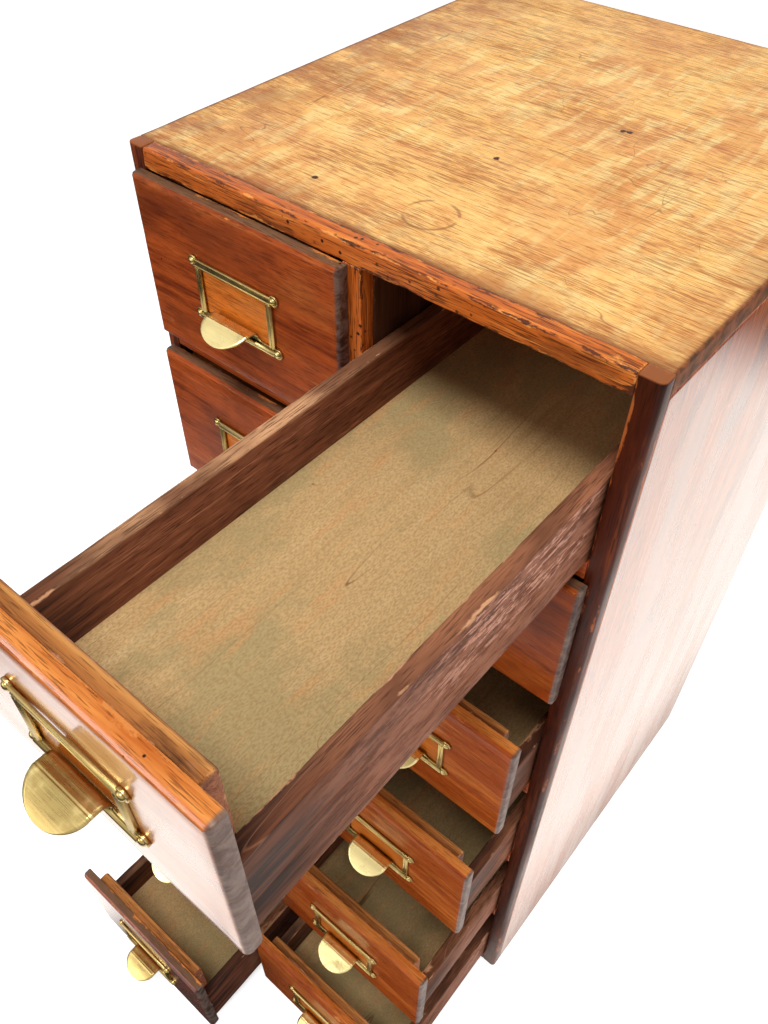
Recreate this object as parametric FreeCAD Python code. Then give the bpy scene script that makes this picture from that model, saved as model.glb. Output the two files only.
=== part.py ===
import FreeCAD, Part
import math
import os

# An index card cabinet: two columns of six small drawers that hold 127 x 76 mm (5 x 3 in) cards,
# each with a brass card frame whose lower edge is bent into a finger pull.
# Millimetres. +Z is up, -Y is the front, and the origin is the centre of the base.
# Several drawers stand partly open: DRAWER_OPENINGS says how far.

# --- carcass ---
CABINET_WIDTH = 350.0
CABINET_DEPTH = 385.0
ROWS = 6
OPENING_HEIGHT = 113.0
PANEL_THICKNESS = 13.0
RAIL_THICKNESS = 13.0
RAIL_DEPTH = 45.0
RUNNER_WIDTH = 18.0
BACK_THICKNESS = 7.0
BACK_REBATE = 6.0
LIPPING_DEPTH = 10.0
STILE_ARRIS_RADIUS = 3.5
TOP_ARRIS_RADIUS = 1.5

# --- drawer front ---
FACE_OVERLAP = 4.0
FACE_END_GAP = 0.5
FACE_THICKNESS = 9.0
FACE_ARRIS_RADIUS = 3.5
FACE_HEEL_RADIUS = 3.0

# --- drawer box ---
BOX_LENGTH = 370.0
BOX_SIDE_CLEARANCE = 1.25
BOX_WALL = 9.0
BOX_SIDE_HEIGHT = 62.0
BOX_FRONT_DROP = 3.0
BOX_FRONT_ARRIS_RADIUS = 4.0
BOX_SIDE_EASING = 1.0
FLOOR_THICKNESS = 6.0
FLOOR_GROOVE_HEIGHT = 18.0
FLOOR_GROOVE_DEPTH = 4.0
FLOOR_GROOVE_SLACK = 0.2

# --- brass card frame ---
PIN_SPREAD = 67.0
PIN_RISE = 36.7
PIN_TOP_DROP = 38.4
EAR_RADIUS = 3.5
EAR_SIDES = 12
WINDOW_WIDTH = 54.5
WINDOW_HEIGHT = 30.5
RING_THICKNESS = 1.6
LABEL_GAP = 0.6
LABEL_LAP = 2.5
TOP_BAR = 5.2
SIDE_BAR = 4.5
BOTTOM_STRIP = 1.9
BOTTOM_BAR = 3.4
BAR_HEIGHT = 1.1
TOP_BAR_BEVEL = 1.2
SIDE_BAR_VALLEY = 0.3

# --- finger pull, bent up from the bottom bar ---
PULL_HALF_WIDTH = 17.5
PULL_RISE = 9.3
PULL_BEND_RADIUS = 4.5
PULL_KINK_OUT = 10.2
PULL_LIP_OUT = 13.4
PULL_LIP_DROP = 6.0
PULL_FLARE_RADIUS = 3.0

# How far each drawer stands open, top row first.
DRAWER_OPENINGS = {
    "left": (0.0, 2.0, 65.5, 110.0, 157.0, 218.0),
    "right": (241.0, 1.2, 37.5, 70.5, 114.0, 152.5),
}

# --- worked out from the sizes above ---
HALF_WIDTH = CABINET_WIDTH / 2
HALF_PANEL = PANEL_THICKNESS / 2
FRONT = -CABINET_DEPTH / 2
REAR = CABINET_DEPTH / 2
PANEL_FRONT = FRONT + LIPPING_DEPTH
BACK_FRONT = REAR - BACK_THICKNESS
INNER_SIDE = HALF_WIDTH - PANEL_THICKNESS
ROW_PITCH = OPENING_HEIGHT + RAIL_THICKNESS
TOP_UNDERSIDE = PANEL_THICKNESS + ROWS * ROW_PITCH - RAIL_THICKNESS
CABINET_HEIGHT = TOP_UNDERSIDE + PANEL_THICKNESS
OPENING_WIDTH = INNER_SIDE - HALF_PANEL
COLUMN_CENTRES = {
    "left": -(INNER_SIDE + HALF_PANEL) / 2,
    "right": (INNER_SIDE + HALF_PANEL) / 2,
}
FACE_WIDTH = OPENING_WIDTH + 2 * FACE_OVERLAP
FACE_HEIGHT = OPENING_HEIGHT - 2 * FACE_END_GAP
BOX_HALF_WIDTH = OPENING_WIDTH / 2 - BOX_SIDE_CLEARANCE
BOX_INNER_HALF = BOX_HALF_WIDTH - BOX_WALL
FRAME_CENTRE = FACE_HEIGHT - PIN_TOP_DROP - PIN_RISE / 2
WINDOW_HALF = WINDOW_WIDTH / 2
WINDOW_TOP = WINDOW_HEIGHT / 2
FRAME_HALF = WINDOW_HALF + SIDE_BAR
FRAME_TOP = WINDOW_TOP + TOP_BAR
FRAME_BOTTOM = -WINDOW_TOP - BOTTOM_STRIP - BOTTOM_BAR
PULL_SHEET = RING_THICKNESS - LABEL_GAP

ALONG_X = FreeCAD.Vector(1, 0, 0)
ALONG_Y = FreeCAD.Vector(0, 1, 0)

# An edge this close to an outer surface counts as lying on it.
REACH = 1.0


def row_floor(row):
    """Height of the surface that the drawers of a row run on; row 1 is the top one."""
    return PANEL_THICKNESS + (ROWS - row) * ROW_PITCH


def board(x0, x1, y0, y1, z0, z1):
    """A square-edged board between two opposite corners."""
    return Part.makeBox(x1 - x0, y1 - y0, z1 - z0, FreeCAD.Vector(x0, y0, z0))


def round_edges(shape, radius, wanted):
    """The shape with a radius on every edge whose bounding box passes the test."""
    return shape.makeFillet(radius, [edge for edge in shape.Edges if wanted(edge.BoundBox)])


def prism(points, direction):
    """A closed polygon pushed along a vector."""
    return Part.Face(Part.makePolygon(points + points[:1])).extrude(direction)


def crowned_bar(outline, start, along, across):
    """A bar pushed along a vector from its section: (offset across, height above y = start.y) points."""
    corners = [start + across * offset - ALONG_Y * height for offset, height in outline]
    return prism(corners, along)


# --- carcass pieces ---

def side_panel(side):
    """A tall side with a rebate along its rear inner edge for the back."""
    panel = board(INNER_SIDE, HALF_WIDTH, PANEL_FRONT, REAR, 0, TOP_UNDERSIDE)
    rebate = board(INNER_SIDE, INNER_SIDE + BACK_REBATE, BACK_FRONT, REAR, 0, TOP_UNDERSIDE)
    panel = panel.cut(rebate)
    return panel if side > 0 else panel.mirror(FreeCAD.Vector(0, 0, 0), ALONG_X)


def stile(side):
    """The full-height lipping on the front edge of a side, its outer arris rounded."""
    lipping = board(INNER_SIDE, HALF_WIDTH, FRONT, PANEL_FRONT, 0, CABINET_HEIGHT)
    lipping = round_edges(
        lipping,
        STILE_ARRIS_RADIUS,
        lambda box: box.XMin > HALF_WIDTH - REACH and box.YMax < FRONT + REACH,
    )
    return lipping if side > 0 else lipping.mirror(FreeCAD.Vector(0, 0, 0), ALONG_X)


def top_lipping():
    """The front edge of the top, let in between the stiles."""
    lipping = board(-INNER_SIDE, INNER_SIDE, FRONT, PANEL_FRONT, TOP_UNDERSIDE, CABINET_HEIGHT)
    return round_edges(
        lipping,
        TOP_ARRIS_RADIUS,
        lambda box: box.YMax < FRONT + REACH and box.ZMin > CABINET_HEIGHT - REACH,
    )


def column_walls(column):
    """The left and right wall of a column of drawers."""
    if column == "left":
        return -INNER_SIDE, -HALF_PANEL
    return HALF_PANEL, INNER_SIDE


def drawer_rails():
    """The cross rails between the rows, flush with the front."""
    rails = []
    for column in COLUMN_CENTRES:
        left, right = column_walls(column)
        for row in range(1, ROWS):
            top = row_floor(row)
            rails.append(board(left, right, FRONT, FRONT + RAIL_DEPTH, top - RAIL_THICKNESS, top))
    return Part.makeCompound(rails)


def drawer_runners():
    """The strips behind the rails that carry the drawer sides."""
    runners = []
    for column in COLUMN_CENTRES:
        left, right = column_walls(column)
        for row in range(1, ROWS):
            top = row_floor(row)
            for start in (left, right - RUNNER_WIDTH):
                runners.append(
                    board(start, start + RUNNER_WIDTH, FRONT + RAIL_DEPTH, BACK_FRONT,
                          top - RAIL_THICKNESS, top)
                )
    return Part.makeCompound(runners)


def carcass():
    """Every piece that stands still, by name."""
    back_half = INNER_SIDE + BACK_REBATE
    return {
        "top_panel": board(-HALF_WIDTH, HALF_WIDTH, PANEL_FRONT, REAR,
                           TOP_UNDERSIDE, CABINET_HEIGHT),
        "bottom_panel": board(-INNER_SIDE, INNER_SIDE, FRONT, BACK_FRONT, 0, PANEL_THICKNESS),
        "left_side_panel": side_panel(-1),
        "right_side_panel": side_panel(1),
        "centre_partition": board(-HALF_PANEL, HALF_PANEL, PANEL_FRONT, BACK_FRONT,
                                  PANEL_THICKNESS, TOP_UNDERSIDE),
        "back_panel": board(-back_half, back_half, BACK_FRONT, REAR, 0, TOP_UNDERSIDE),
        "top_lipping": top_lipping(),
        "left_stile": stile(-1),
        "right_stile": stile(1),
        "partition_lipping": board(-HALF_PANEL, HALF_PANEL, FRONT, PANEL_FRONT,
                                   PANEL_THICKNESS, TOP_UNDERSIDE),
        "drawer_rails": drawer_rails(),
        "drawer_runners": drawer_runners(),
    }


# --- drawer pieces: x = 0 on the drawer's middle, y = 0 on the back of its face, z = 0 at its foot ---

def face():
    """The drawer front, rounded all round its front edge and along its lower rear edge."""
    plank = board(-FACE_WIDTH / 2, FACE_WIDTH / 2, -FACE_THICKNESS, 0, 0, FACE_HEIGHT)
    plank = round_edges(plank, FACE_HEEL_RADIUS,
                        lambda box: box.YMin > -REACH and box.ZMax < REACH)
    return round_edges(plank, FACE_ARRIS_RADIUS, lambda box: box.YMax < REACH - FACE_THICKNESS)


def groove(x0, x1, y0, y1):
    """The space that the drawer floor's edge slides into."""
    top = FLOOR_GROOVE_HEIGHT + FLOOR_THICKNESS + FLOOR_GROOVE_SLACK
    return board(x0, x1, y0, y1, FLOOR_GROOVE_HEIGHT, top)


def box_side(side):
    """A drawer side, grooved for the floor, its two upper arrises eased."""
    plank = board(BOX_INNER_HALF, BOX_HALF_WIDTH, 0, BOX_LENGTH, 0, BOX_SIDE_HEIGHT)
    arrises = [
        edge for edge in plank.Edges
        if edge.BoundBox.ZMin > BOX_SIDE_HEIGHT - REACH and edge.BoundBox.YLength > BOX_WALL
    ]
    plank = plank.makeChamfer(BOX_SIDE_EASING, arrises)
    plank = plank.cut(groove(BOX_INNER_HALF, BOX_INNER_HALF + FLOOR_GROOVE_DEPTH, 0, BOX_LENGTH))
    return plank if side > 0 else plank.mirror(FreeCAD.Vector(0, 0, 0), ALONG_X)


def box_front():
    """The inner front, glued to the face and standing above the sides."""
    plank = board(-BOX_INNER_HALF, BOX_INNER_HALF, 0, BOX_WALL, 0, FACE_HEIGHT - BOX_FRONT_DROP)
    plank = round_edges(
        plank,
        BOX_FRONT_ARRIS_RADIUS,
        lambda box: box.YMin > BOX_WALL - REACH and box.ZMin > BOX_SIDE_HEIGHT,
    )
    return plank.cut(groove(-BOX_INNER_HALF, BOX_INNER_HALF,
                            BOX_WALL - FLOOR_GROOVE_DEPTH, BOX_WALL))


def box_back():
    """The back of the drawer, resting on the floor board, which runs out under it."""
    return board(-BOX_INNER_HALF, BOX_INNER_HALF, BOX_LENGTH - BOX_WALL, BOX_LENGTH,
                 FLOOR_GROOVE_HEIGHT + FLOOR_THICKNESS, BOX_SIDE_HEIGHT)


def box_floor():
    """The thin floor board in its grooves."""
    half = BOX_INNER_HALF + FLOOR_GROOVE_DEPTH
    return board(-half, half, BOX_WALL - FLOOR_GROOVE_DEPTH, BOX_LENGTH,
                 FLOOR_GROOVE_HEIGHT, FLOOR_GROOVE_HEIGHT + FLOOR_THICKNESS)


# --- card frame pieces: x = z = 0 at the frame's centre, y = 0 on the drawer front ---

def ear(x, z):
    """A near-round lug at a corner, where a pin goes through."""
    angles = [2 * math.pi * (side + 0.5) / EAR_SIDES for side in range(EAR_SIDES)]
    rim = [
        FreeCAD.Vector(x + EAR_RADIUS * math.cos(angle), 0, z + EAR_RADIUS * math.sin(angle))
        for angle in angles
    ]
    return prism(rim, -ALONG_Y * RING_THICKNESS)


def half_round_bar():
    """The bottom bar, half round in section."""
    middle = FRAME_BOTTOM + BOTTOM_BAR / 2
    rod = Part.makeCylinder(BOTTOM_BAR / 2, 2 * FRAME_HALF,
                            FreeCAD.Vector(-FRAME_HALF, -RING_THICKNESS, middle), ALONG_X)
    return rod.common(board(-FRAME_HALF, FRAME_HALF, -RING_THICKNESS - BOTTOM_BAR, -RING_THICKNESS,
                            FRAME_BOTTOM, FRAME_BOTTOM + BOTTOM_BAR))


def frame_ring():
    """The sheet with its window and ears, a slot behind it for a label, and the bars on it."""
    upright = FreeCAD.Vector(0, 0, 1)
    ears = [
        ear(side * PIN_SPREAD / 2, end * PIN_RISE / 2)
        for side in (-1, 1)
        for end in (-1, 1)
    ]
    sheet = board(-FRAME_HALF, FRAME_HALF, -RING_THICKNESS, 0, FRAME_BOTTOM, FRAME_TOP)
    window = board(-WINDOW_HALF, WINDOW_HALF, -RING_THICKNESS, 0, -WINDOW_TOP, WINDOW_TOP)
    label_half = WINDOW_HALF + LABEL_LAP
    label_slot = board(-label_half, label_half, -LABEL_GAP, 0, -WINDOW_TOP, FRAME_TOP)
    sheet = sheet.cut(window).cut(label_slot).multiFuse(ears)
    bevelled = [(0, 0), (TOP_BAR_BEVEL, BAR_HEIGHT), (TOP_BAR - TOP_BAR_BEVEL, BAR_HEIGHT),
                (TOP_BAR, 0)]
    ridged = [(0, 0), (SIDE_BAR / 4, BAR_HEIGHT), (SIDE_BAR / 2, SIDE_BAR_VALLEY),
              (SIDE_BAR * 3 / 4, BAR_HEIGHT), (SIDE_BAR, 0)]
    bars = [
        crowned_bar(bevelled, FreeCAD.Vector(-FRAME_HALF, -RING_THICKNESS, WINDOW_TOP),
                    ALONG_X * (2 * FRAME_HALF), upright),
        half_round_bar(),
    ]
    for side in (-1, 1):
        foot = FreeCAD.Vector(side * WINDOW_HALF, -RING_THICKNESS, -WINDOW_TOP)
        bars.append(crowned_bar(ridged, foot, upright * WINDOW_HEIGHT, ALONG_X * side))
    return sheet.multiFuse(bars)


def pull_outline():
    """The pull's sheet in section, on the plane x = 0: up the bar, over the bend, down the lip."""
    foot = FRAME_BOTTOM + BOTTOM_BAR / 2
    crest = PULL_RISE - PIN_RISE / 2
    outer = PULL_BEND_RADIUS
    inner = PULL_BEND_RADIUS - PULL_SHEET
    hub_y = -LABEL_GAP - outer
    hub_z = crest - outer
    slant = math.atan2(PULL_LIP_DROP, PULL_LIP_OUT)

    def at(y, z):
        return FreeCAD.Vector(0, y, z)

    def over_bend(radius):
        return at(hub_y, hub_z) + at(1, 1) * (radius * math.sqrt(0.5))

    upper_kink = at(-PULL_KINK_OUT, crest)
    lower_kink = at(-PULL_KINK_OUT + PULL_SHEET * math.tan(slant / 2), crest - PULL_SHEET)
    tip = upper_kink + at(-PULL_LIP_OUT, -PULL_LIP_DROP)
    tip_below = tip + at(math.sin(slant), -math.cos(slant)) * PULL_SHEET
    edges = [
        Part.makeLine(at(-LABEL_GAP, foot), at(-LABEL_GAP, hub_z)),
        Part.Arc(at(-LABEL_GAP, hub_z), over_bend(outer), at(hub_y, crest)).toShape(),
        Part.makeLine(at(hub_y, crest), upper_kink),
        Part.makeLine(upper_kink, tip),
        Part.makeLine(tip, tip_below),
        Part.makeLine(tip_below, lower_kink),
        Part.makeLine(lower_kink, at(hub_y, crest - PULL_SHEET)),
        Part.Arc(at(hub_y, crest - PULL_SHEET), over_bend(inner),
                 at(-RING_THICKNESS, hub_z)).toShape(),
        Part.makeLine(at(-RING_THICKNESS, hub_z), at(-RING_THICKNESS, foot)),
        Part.makeLine(at(-RING_THICKNESS, foot), at(-LABEL_GAP, foot)),
    ]
    return Part.Face(Part.Wire(edges))


def flared_root():
    """The pull seen from the front: straight sides that flare out where they leave the bar."""
    foot = FRAME_BOTTOM + BOTTOM_BAR / 2
    bar_top = -WINDOW_TOP
    radius = PULL_FLARE_RADIUS
    diagonal = radius * (1 - math.sqrt(0.5))
    flank = bar_top + radius

    def at(x, z):
        return FreeCAD.Vector(x, 0, z)

    def flare(side):
        half = side * PULL_HALF_WIDTH
        middle = at(half + side * diagonal, bar_top + diagonal)
        return Part.Arc(at(half + side * radius, bar_top), middle, at(half, flank)).toShape()

    wide = PULL_HALF_WIDTH + radius
    edges = [
        Part.makeLine(at(-wide, foot), at(wide, foot)),
        Part.makeLine(at(wide, foot), at(wide, bar_top)),
        flare(1),
        Part.makeLine(at(PULL_HALF_WIDTH, flank), at(PULL_HALF_WIDTH, 0)),
        Part.makeLine(at(PULL_HALF_WIDTH, 0), at(-PULL_HALF_WIDTH, 0)),
        Part.makeLine(at(-PULL_HALF_WIDTH, 0), at(-PULL_HALF_WIDTH, flank)),
        flare(-1),
        Part.makeLine(at(-wide, bar_top), at(-wide, foot)),
    ]
    return Part.Face(Part.Wire(Part.__sortEdges__(edges))).extrude(-ALONG_Y * PULL_KINK_OUT)


def lip_oval():
    """The half-oval that the lip is trimmed to, seen from above."""
    hinge = FreeCAD.Vector(0, -PULL_KINK_OUT, -WINDOW_TOP)
    oval = Part.Ellipse(hinge, PULL_HALF_WIDTH, PULL_LIP_OUT)
    return Part.Face(Part.Wire(oval.toShape())).extrude(FreeCAD.Vector(0, 0, 2 * WINDOW_TOP))


def finger_pull():
    """The hooded pull: root and bend trimmed to the flared outline, lip trimmed to a half oval."""
    wide = PULL_HALF_WIDTH + PULL_FLARE_RADIUS
    sheet = pull_outline()
    sheet.translate(ALONG_X * -wide)
    sheet = sheet.extrude(ALONG_X * (2 * wide))
    return sheet.common(flared_root().fuse(lip_oval()))


def card_frame():
    """The whole frame with its pull."""
    return frame_ring().fuse(finger_pull()).removeSplitter()


def drawer():
    """One drawer at its own origin, by piece name."""
    frame = card_frame()
    frame.translate(FreeCAD.Vector(0, -FACE_THICKNESS, FRAME_CENTRE))
    return {
        "face": face(),
        "box": Part.makeCompound([box_front(), box_side(-1), box_side(1), box_back()]),
        "floor": box_floor(),
        "card_frame": frame,
    }


def all_nodes():
    """The carcass, and twelve drawers standing open as DRAWER_OPENINGS says."""
    nodes = carcass()
    pieces = drawer()
    for column, openings in DRAWER_OPENINGS.items():
        for row, opening in enumerate(openings, start=1):
            place = FreeCAD.Vector(COLUMN_CENTRES[column], FRONT - opening,
                                   row_floor(row) + FACE_END_GAP)
            for name, piece in pieces.items():
                nodes[f"{column}_drawer_{row}_{name}"] = piece.translated(place)
    return nodes


os.makedirs("parts", exist_ok=True)
for name, shape in all_nodes().items():
    shape.exportStep(f"parts/{name}.step")
    print(name, len(shape.Solids), shape.isValid())
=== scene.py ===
import math
import random

import bmesh
import bpy
from mathutils import Matrix, Vector, noise


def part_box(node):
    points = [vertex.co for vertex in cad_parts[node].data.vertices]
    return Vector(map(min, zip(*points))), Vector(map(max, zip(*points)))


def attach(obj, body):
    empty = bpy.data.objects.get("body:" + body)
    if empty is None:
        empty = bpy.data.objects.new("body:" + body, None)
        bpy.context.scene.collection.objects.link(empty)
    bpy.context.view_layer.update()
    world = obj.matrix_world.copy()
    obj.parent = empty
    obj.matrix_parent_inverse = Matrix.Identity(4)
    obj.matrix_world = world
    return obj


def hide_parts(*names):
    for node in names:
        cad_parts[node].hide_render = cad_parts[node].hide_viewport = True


# An old index card cabinet in a dark, rubbed finish, with twelve small drawers and brass card frames.
# Metres, in the solids' own frame: +Z is up and -Y is the front.

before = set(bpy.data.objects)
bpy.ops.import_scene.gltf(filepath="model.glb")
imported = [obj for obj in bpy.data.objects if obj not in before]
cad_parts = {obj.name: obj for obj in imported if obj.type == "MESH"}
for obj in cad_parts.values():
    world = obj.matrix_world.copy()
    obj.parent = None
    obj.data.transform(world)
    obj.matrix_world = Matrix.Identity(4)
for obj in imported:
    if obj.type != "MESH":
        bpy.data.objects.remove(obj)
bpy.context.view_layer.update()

MM = 0.001
COLUMNS = ("left", "right")
ROWS = 6

# --- arrises and wear; the turns of the noise are to the metre ---
SMALL_ARRIS = 0.7 * MM
FACE_ARRIS = 3.5 * MM
HEEL_ARRIS = 3.0 * MM
STILE_ARRIS = 3.5 * MM
BOX_ARRIS = 1.2 * MM
BOX_FRONT_ARRIS = 4 * MM
WEAR_REACH = 9 * MM
SUPPORT = 2.2 * MM
WAVE = 0.08 * MM
DENT_REACH = 3.5 * MM
DENT = 0.35 * MM
KNOCK_TURNS = 85
KNOCK_LEAST = 0.12
WAVE_TURNS = 14
CUT_GAP = 1.5 * MM

# --- tests on edges and points ---
NEAR = 0.1 * MM
HAIR = 1e-6
SQUARE = 1.2

# --- places on a board, from its own origin ---
FACE_CREST = 56.75 * MM
STILE_CREST = 384.5 * MM
FACE_END = 80.8 * MM
BOX_OUTSIDE = 76 * MM
SIDE_FOOT = -380 * MM
FOOT_SHADE_REACH = -190 * MM
POLISH_REACH = -110 * MM

# --- places on the top ---
RIM_LEFT = (-172 * MM, -100 * MM)
RIM_RIGHT = (145 * MM, 173 * MM)
RIM_FRONT = (-188 * MM, -150 * MM)
TOP_END = 174.5 * MM

# --- marks on the top ---
CUP_RING = (14 * MM, -145 * MM, 769 * MM)
TOP_NICKS = ((40 * MM, 8 * MM, 769 * MM), (44 * MM, 9 * MM, 769 * MM), (3 * MM, -70 * MM, 769 * MM),
             (-60 * MM, -154 * MM, 769 * MM))

# --- drawers whose fronts get painted shade along the top, whose brass has dulled, whose fronts shine most ---
SHADE_PAINTED_TOPS = ("left_drawer_1", "left_drawer_2", "right_drawer_2", "left_drawer_6")
TARNISHED = ("right_drawer_1", "left_drawer_6")
WAXED = ("right_drawer_1", "left_drawer_6")

# --- tone of a board: it shades the wood and tells the finishes which board this is ---
# A front with painted shade along its top has the same tone below nought, which also paints its wood
# darker.
FACE_TONE = 0.08
WAXED_TONE = 0.25
STILE_TONE = {"left": 0.25, "right": 0.0}
BOX_FRONT_TONE = 0.3
TARNISHED_SHINE = 0.3

# --- drawer box ---
BOX_WALL = 9 * MM
BOX_SIDE_HEIGHT = 62 * MM

# --- brass card frame, measured from its own centre on the drawer front ---
PIN_X = 33.5 * MM
PIN_Z = 18.35 * MM
PIN_TOP_DROP = 38.4 * MM
EAR_RADIUS = 3.5 * MM
PIN_RADIUS = 2.3 * MM
PIN_HEIGHT = 1.6 * MM
SHEET = 1.6 * MM
LABEL_GAP = 0.6 * MM
LABEL_LAP = 2.5 * MM
CROWN = 1.1 * MM
WINDOW_X = 27.25 * MM
WINDOW_Z = 15.25 * MM
TOP_BAR = 5.2 * MM
SIDE_BAR = 4.5 * MM
BOTTOM_STRIP = 1.9 * MM
BOTTOM_BAR = 3.4 * MM

# --- finger pull ---
PULL_SHEET = 1.0 * MM
PULL_HALF = 17.5 * MM
PULL_FOOT = -WINDOW_Z - BOTTOM_STRIP - BOTTOM_BAR / 2
PULL_CREST = -9.05 * MM
PULL_BEND = 4.5 * MM
PULL_KINK = 10.2 * MM
LIP_OUT = 13.4 * MM
LIP_DROP = 6 * MM
LIP_CROWN = 0.6 * MM
FLARE = 3 * MM
CREASE_GAP = 1.5 * MM
CREASE_RISE = 0.16 * MM
CREASE_HALF = 0.35 * MM
ROOT_STEPS = 8
BEND_STEPS = 8
LIP_STEPS = 14
PULL_COLUMNS = 16
TIP_SHARE = 0.02

# --- studio: in gloss the floor shows a painted pool of light round the cabinet and a painted shadow under the open drawers ---
POOL_CENTRE = (0.2, 0.0, 0.0)
POOL_REACH = 0.85
POOL_EDGE = 0.3
SHADE_CENTRE = (0.02, -0.36, 0.0)
SHADE_REACH = 0.15
SHADE_EDGE = 0.08
WHITE = (1, 1, 1, 1)
FLOOR_SHADE = (0.85, 0.85, 0.85, 1)
DARK_GLOSS = (0.03, 0.03, 0.03, 1)
PAINTED_POOL_TINT = (1.0, 0.94, 0.84, 1)
CAMERA_GLOW = 0.7
PAINTED_POOL_GLOW = 0.8
ROOM_LIGHT = 0.3
LAMPS = (
    # name, place, target, width, height, watts
    ("overhead_box", (0.2, -0.85, 2.65), (0.05, -0.25, 0.7), 0.75, 0.75, 33),
    ("front_box", (-0.9, -1.8, 1.1), (0, -0.2, 0.5), 0.9, 0.9, 9),
    ("right_box", (1.7, 0.3, 1.3), (0.15, 0, 0.5), 0.9, 1.2, 12),
)

# --- camera, turned by degrees ---
LENS = 31.567
SENSOR = 36.0
CAMERA_PLACE = (0.27316, -0.49288, 1.00476)
CAMERA_TURN = (43.109, -0.272, 40.068)


def colour(red, green, blue):
    """A colour named as a painter's 0-255 triple, as the shaders want it."""
    def channel(value):
        share = value / 255
        return share / 12.92 if share <= 0.04045 else ((share + 0.055) / 1.055) ** 2.4
    return (channel(red), channel(green), channel(blue), 1.0)


# ---------------------------------------------------------------- finishes

class Finish:
    """A material in the making, with the patterns that it is mixed from."""

    def __init__(self, name):
        self.material = bpy.data.materials.new(name)
        self.material.use_nodes = True
        self.tree = self.material.node_tree
        self.shader = self.tree.nodes["Principled BSDF"]

    def put(self, socket, value):
        """Links a socket's value, or sets it."""
        if isinstance(value, bpy.types.NodeSocket):
            self.tree.links.new(value, socket)
        else:
            socket.default_value = value

    def attribute(self, name, output="Vector"):
        """A value that mark_board or card_frame_form stored on the points."""
        made = self.tree.nodes.new("ShaderNodeAttribute")
        made.attribute_name = name
        return made.outputs[output]

    def stretch(self, vector, factors):
        made = self.tree.nodes.new("ShaderNodeVectorMath")
        made.operation = "MULTIPLY"
        self.put(made.inputs[0], vector)
        self.put(made.inputs[1], factors)
        return made.outputs[0]

    def distance(self, vector, centre):
        made = self.tree.nodes.new("ShaderNodeVectorMath")
        made.operation = "DISTANCE"
        self.put(made.inputs[0], vector)
        made.inputs[1].default_value = centre
        return made.outputs["Value"]

    def split(self, vector):
        made = self.tree.nodes.new("ShaderNodeSeparateXYZ")
        self.put(made.inputs[0], vector)
        return made.outputs

    def noise(self, vector, frequencies, detail=2.0, rough=0.5, warp=0.0):
        """Cloudy noise with so many turns to the metre along, across and through the board."""
        made = self.tree.nodes.new("ShaderNodeTexNoise")
        self.put(made.inputs["Vector"], self.stretch(vector, frequencies))
        made.inputs["Scale"].default_value = 1.0
        made.inputs["Detail"].default_value = detail
        made.inputs["Roughness"].default_value = rough
        made.inputs["Distortion"].default_value = warp
        return made.outputs[0]

    def rings(self, vector, spacing, wander):
        """Growth rings round the board's length."""
        made = self.tree.nodes.new("ShaderNodeTexWave")
        made.wave_type = "RINGS"
        made.rings_direction = "X"
        made.wave_profile = "SIN"
        self.put(made.inputs["Vector"], self.stretch(vector, (0.12, 1.0, 1.0)))
        made.inputs["Scale"].default_value = math.pi / (10 * spacing)
        made.inputs["Distortion"].default_value = wander
        made.inputs["Detail"].default_value = 3.0
        made.inputs["Detail Scale"].default_value = 0.35
        made.inputs["Detail Roughness"].default_value = 0.6
        return made.outputs["Fac"]

    def math(self, operation, first, second=0.0):
        made = self.tree.nodes.new("ShaderNodeMath")
        made.operation = operation
        self.put(made.inputs[0], first)
        self.put(made.inputs[1], second)
        return made.outputs[0]

    def band(self, value, low, high, start=0.0, end=1.0):
        """Eases from start to end as the value goes from low to high."""
        made = self.tree.nodes.new("ShaderNodeMapRange")
        made.interpolation_type = "SMOOTHSTEP"
        self.put(made.inputs["Value"], value)
        made.inputs["From Min"].default_value = low
        made.inputs["From Max"].default_value = high
        made.inputs["To Min"].default_value = start
        made.inputs["To Max"].default_value = end
        return made.outputs[0]

    def times(self, first, second):
        return self.math("MULTIPLY", first, second)

    def plus(self, first, second):
        return self.math("ADD", first, second)

    def mix(self, factor, first, second):
        """A colour that goes from the first to the second as the factor goes from 0 to 1."""
        made = self.tree.nodes.new("ShaderNodeMix")
        made.data_type = "RGBA"
        self.put(made.inputs[0], factor)
        self.put(made.inputs[6], first)
        self.put(made.inputs[7], second)
        return made.outputs[2]

    def lines(self, vector, frequencies, width, share):
        """Fine wandering scratches: the thin places where a stretched noise crosses its middle."""
        cloud = self.noise(vector, frequencies, detail=1.0)
        distance = self.math("ABSOLUTE", self.math("SUBTRACT", cloud, 0.5))
        line = self.band(distance, 0.0, width, 1.0, 0.0)
        where = self.noise(vector, (7.0, 9.0, 9.0), detail=2.0)
        return self.times(line, self.band(where, share, share + 0.08))

    def spots(self, vector, frequency, size):
        """Small round nicks and specks."""
        made = self.tree.nodes.new("ShaderNodeTexVoronoi")
        self.put(made.inputs["Vector"], vector)
        made.inputs["Scale"].default_value = frequency
        return self.band(made.outputs["Distance"], size * 0.6, size, 1.0, 0.0)

    def bump(self, height, distance, strength, under=None):
        """Fine relief, laid on what is under it."""
        made = self.tree.nodes.new("ShaderNodeBump")
        made.inputs["Strength"].default_value = strength
        made.inputs["Distance"].default_value = distance
        self.put(made.inputs["Height"], height)
        if under is not None:
            self.put(made.inputs["Normal"], under)
        return made.outputs[0]

    def finish(self, base, roughness, normal, metal=0.0, specular=0.5):
        """Sets the shader and hands over the material."""
        self.put(self.shader.inputs["Base Color"], base)
        self.put(self.shader.inputs["Roughness"], roughness)
        self.put(self.shader.inputs["Normal"], normal)
        self.shader.inputs["Metallic"].default_value = metal
        self.shader.inputs["Specular IOR Level"].default_value = specular
        return self.material


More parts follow.
